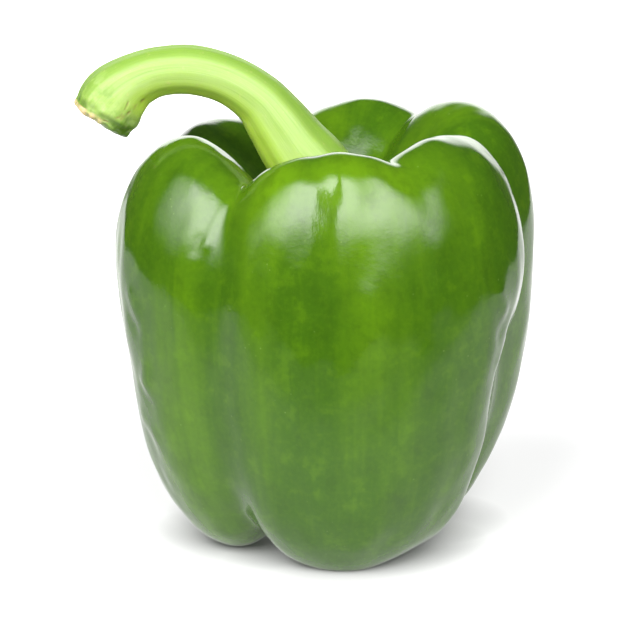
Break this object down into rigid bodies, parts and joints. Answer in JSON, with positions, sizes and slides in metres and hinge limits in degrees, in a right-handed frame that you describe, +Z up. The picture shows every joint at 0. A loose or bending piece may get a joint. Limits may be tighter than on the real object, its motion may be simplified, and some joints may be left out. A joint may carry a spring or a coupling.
{
  "type": "bell pepper",
  "caption": "Whole green bell pepper with rounded lobes, a sunken calyx and a long arching stalk cut at its end.",
  "frame": {"origin": "on the resting surface, under the centre of the whole part's bounding box", "axes": "+Z up, from the resting lobes to the stalk; -X is the way the stalk's cut end points; -Y is the front, where the broad front lobes are"},
  "size_m": [0.0962, 0.0834, 0.1045],
  "materials": {
    "skin": "waxy gloss",
    "calyx": "satin",
    "stem": "satin"
  },
  "bodies": {
    "root": {"fruit": "skin", "calyx": "calyx", "stem": "stem"}
  },
  "joints": []
}
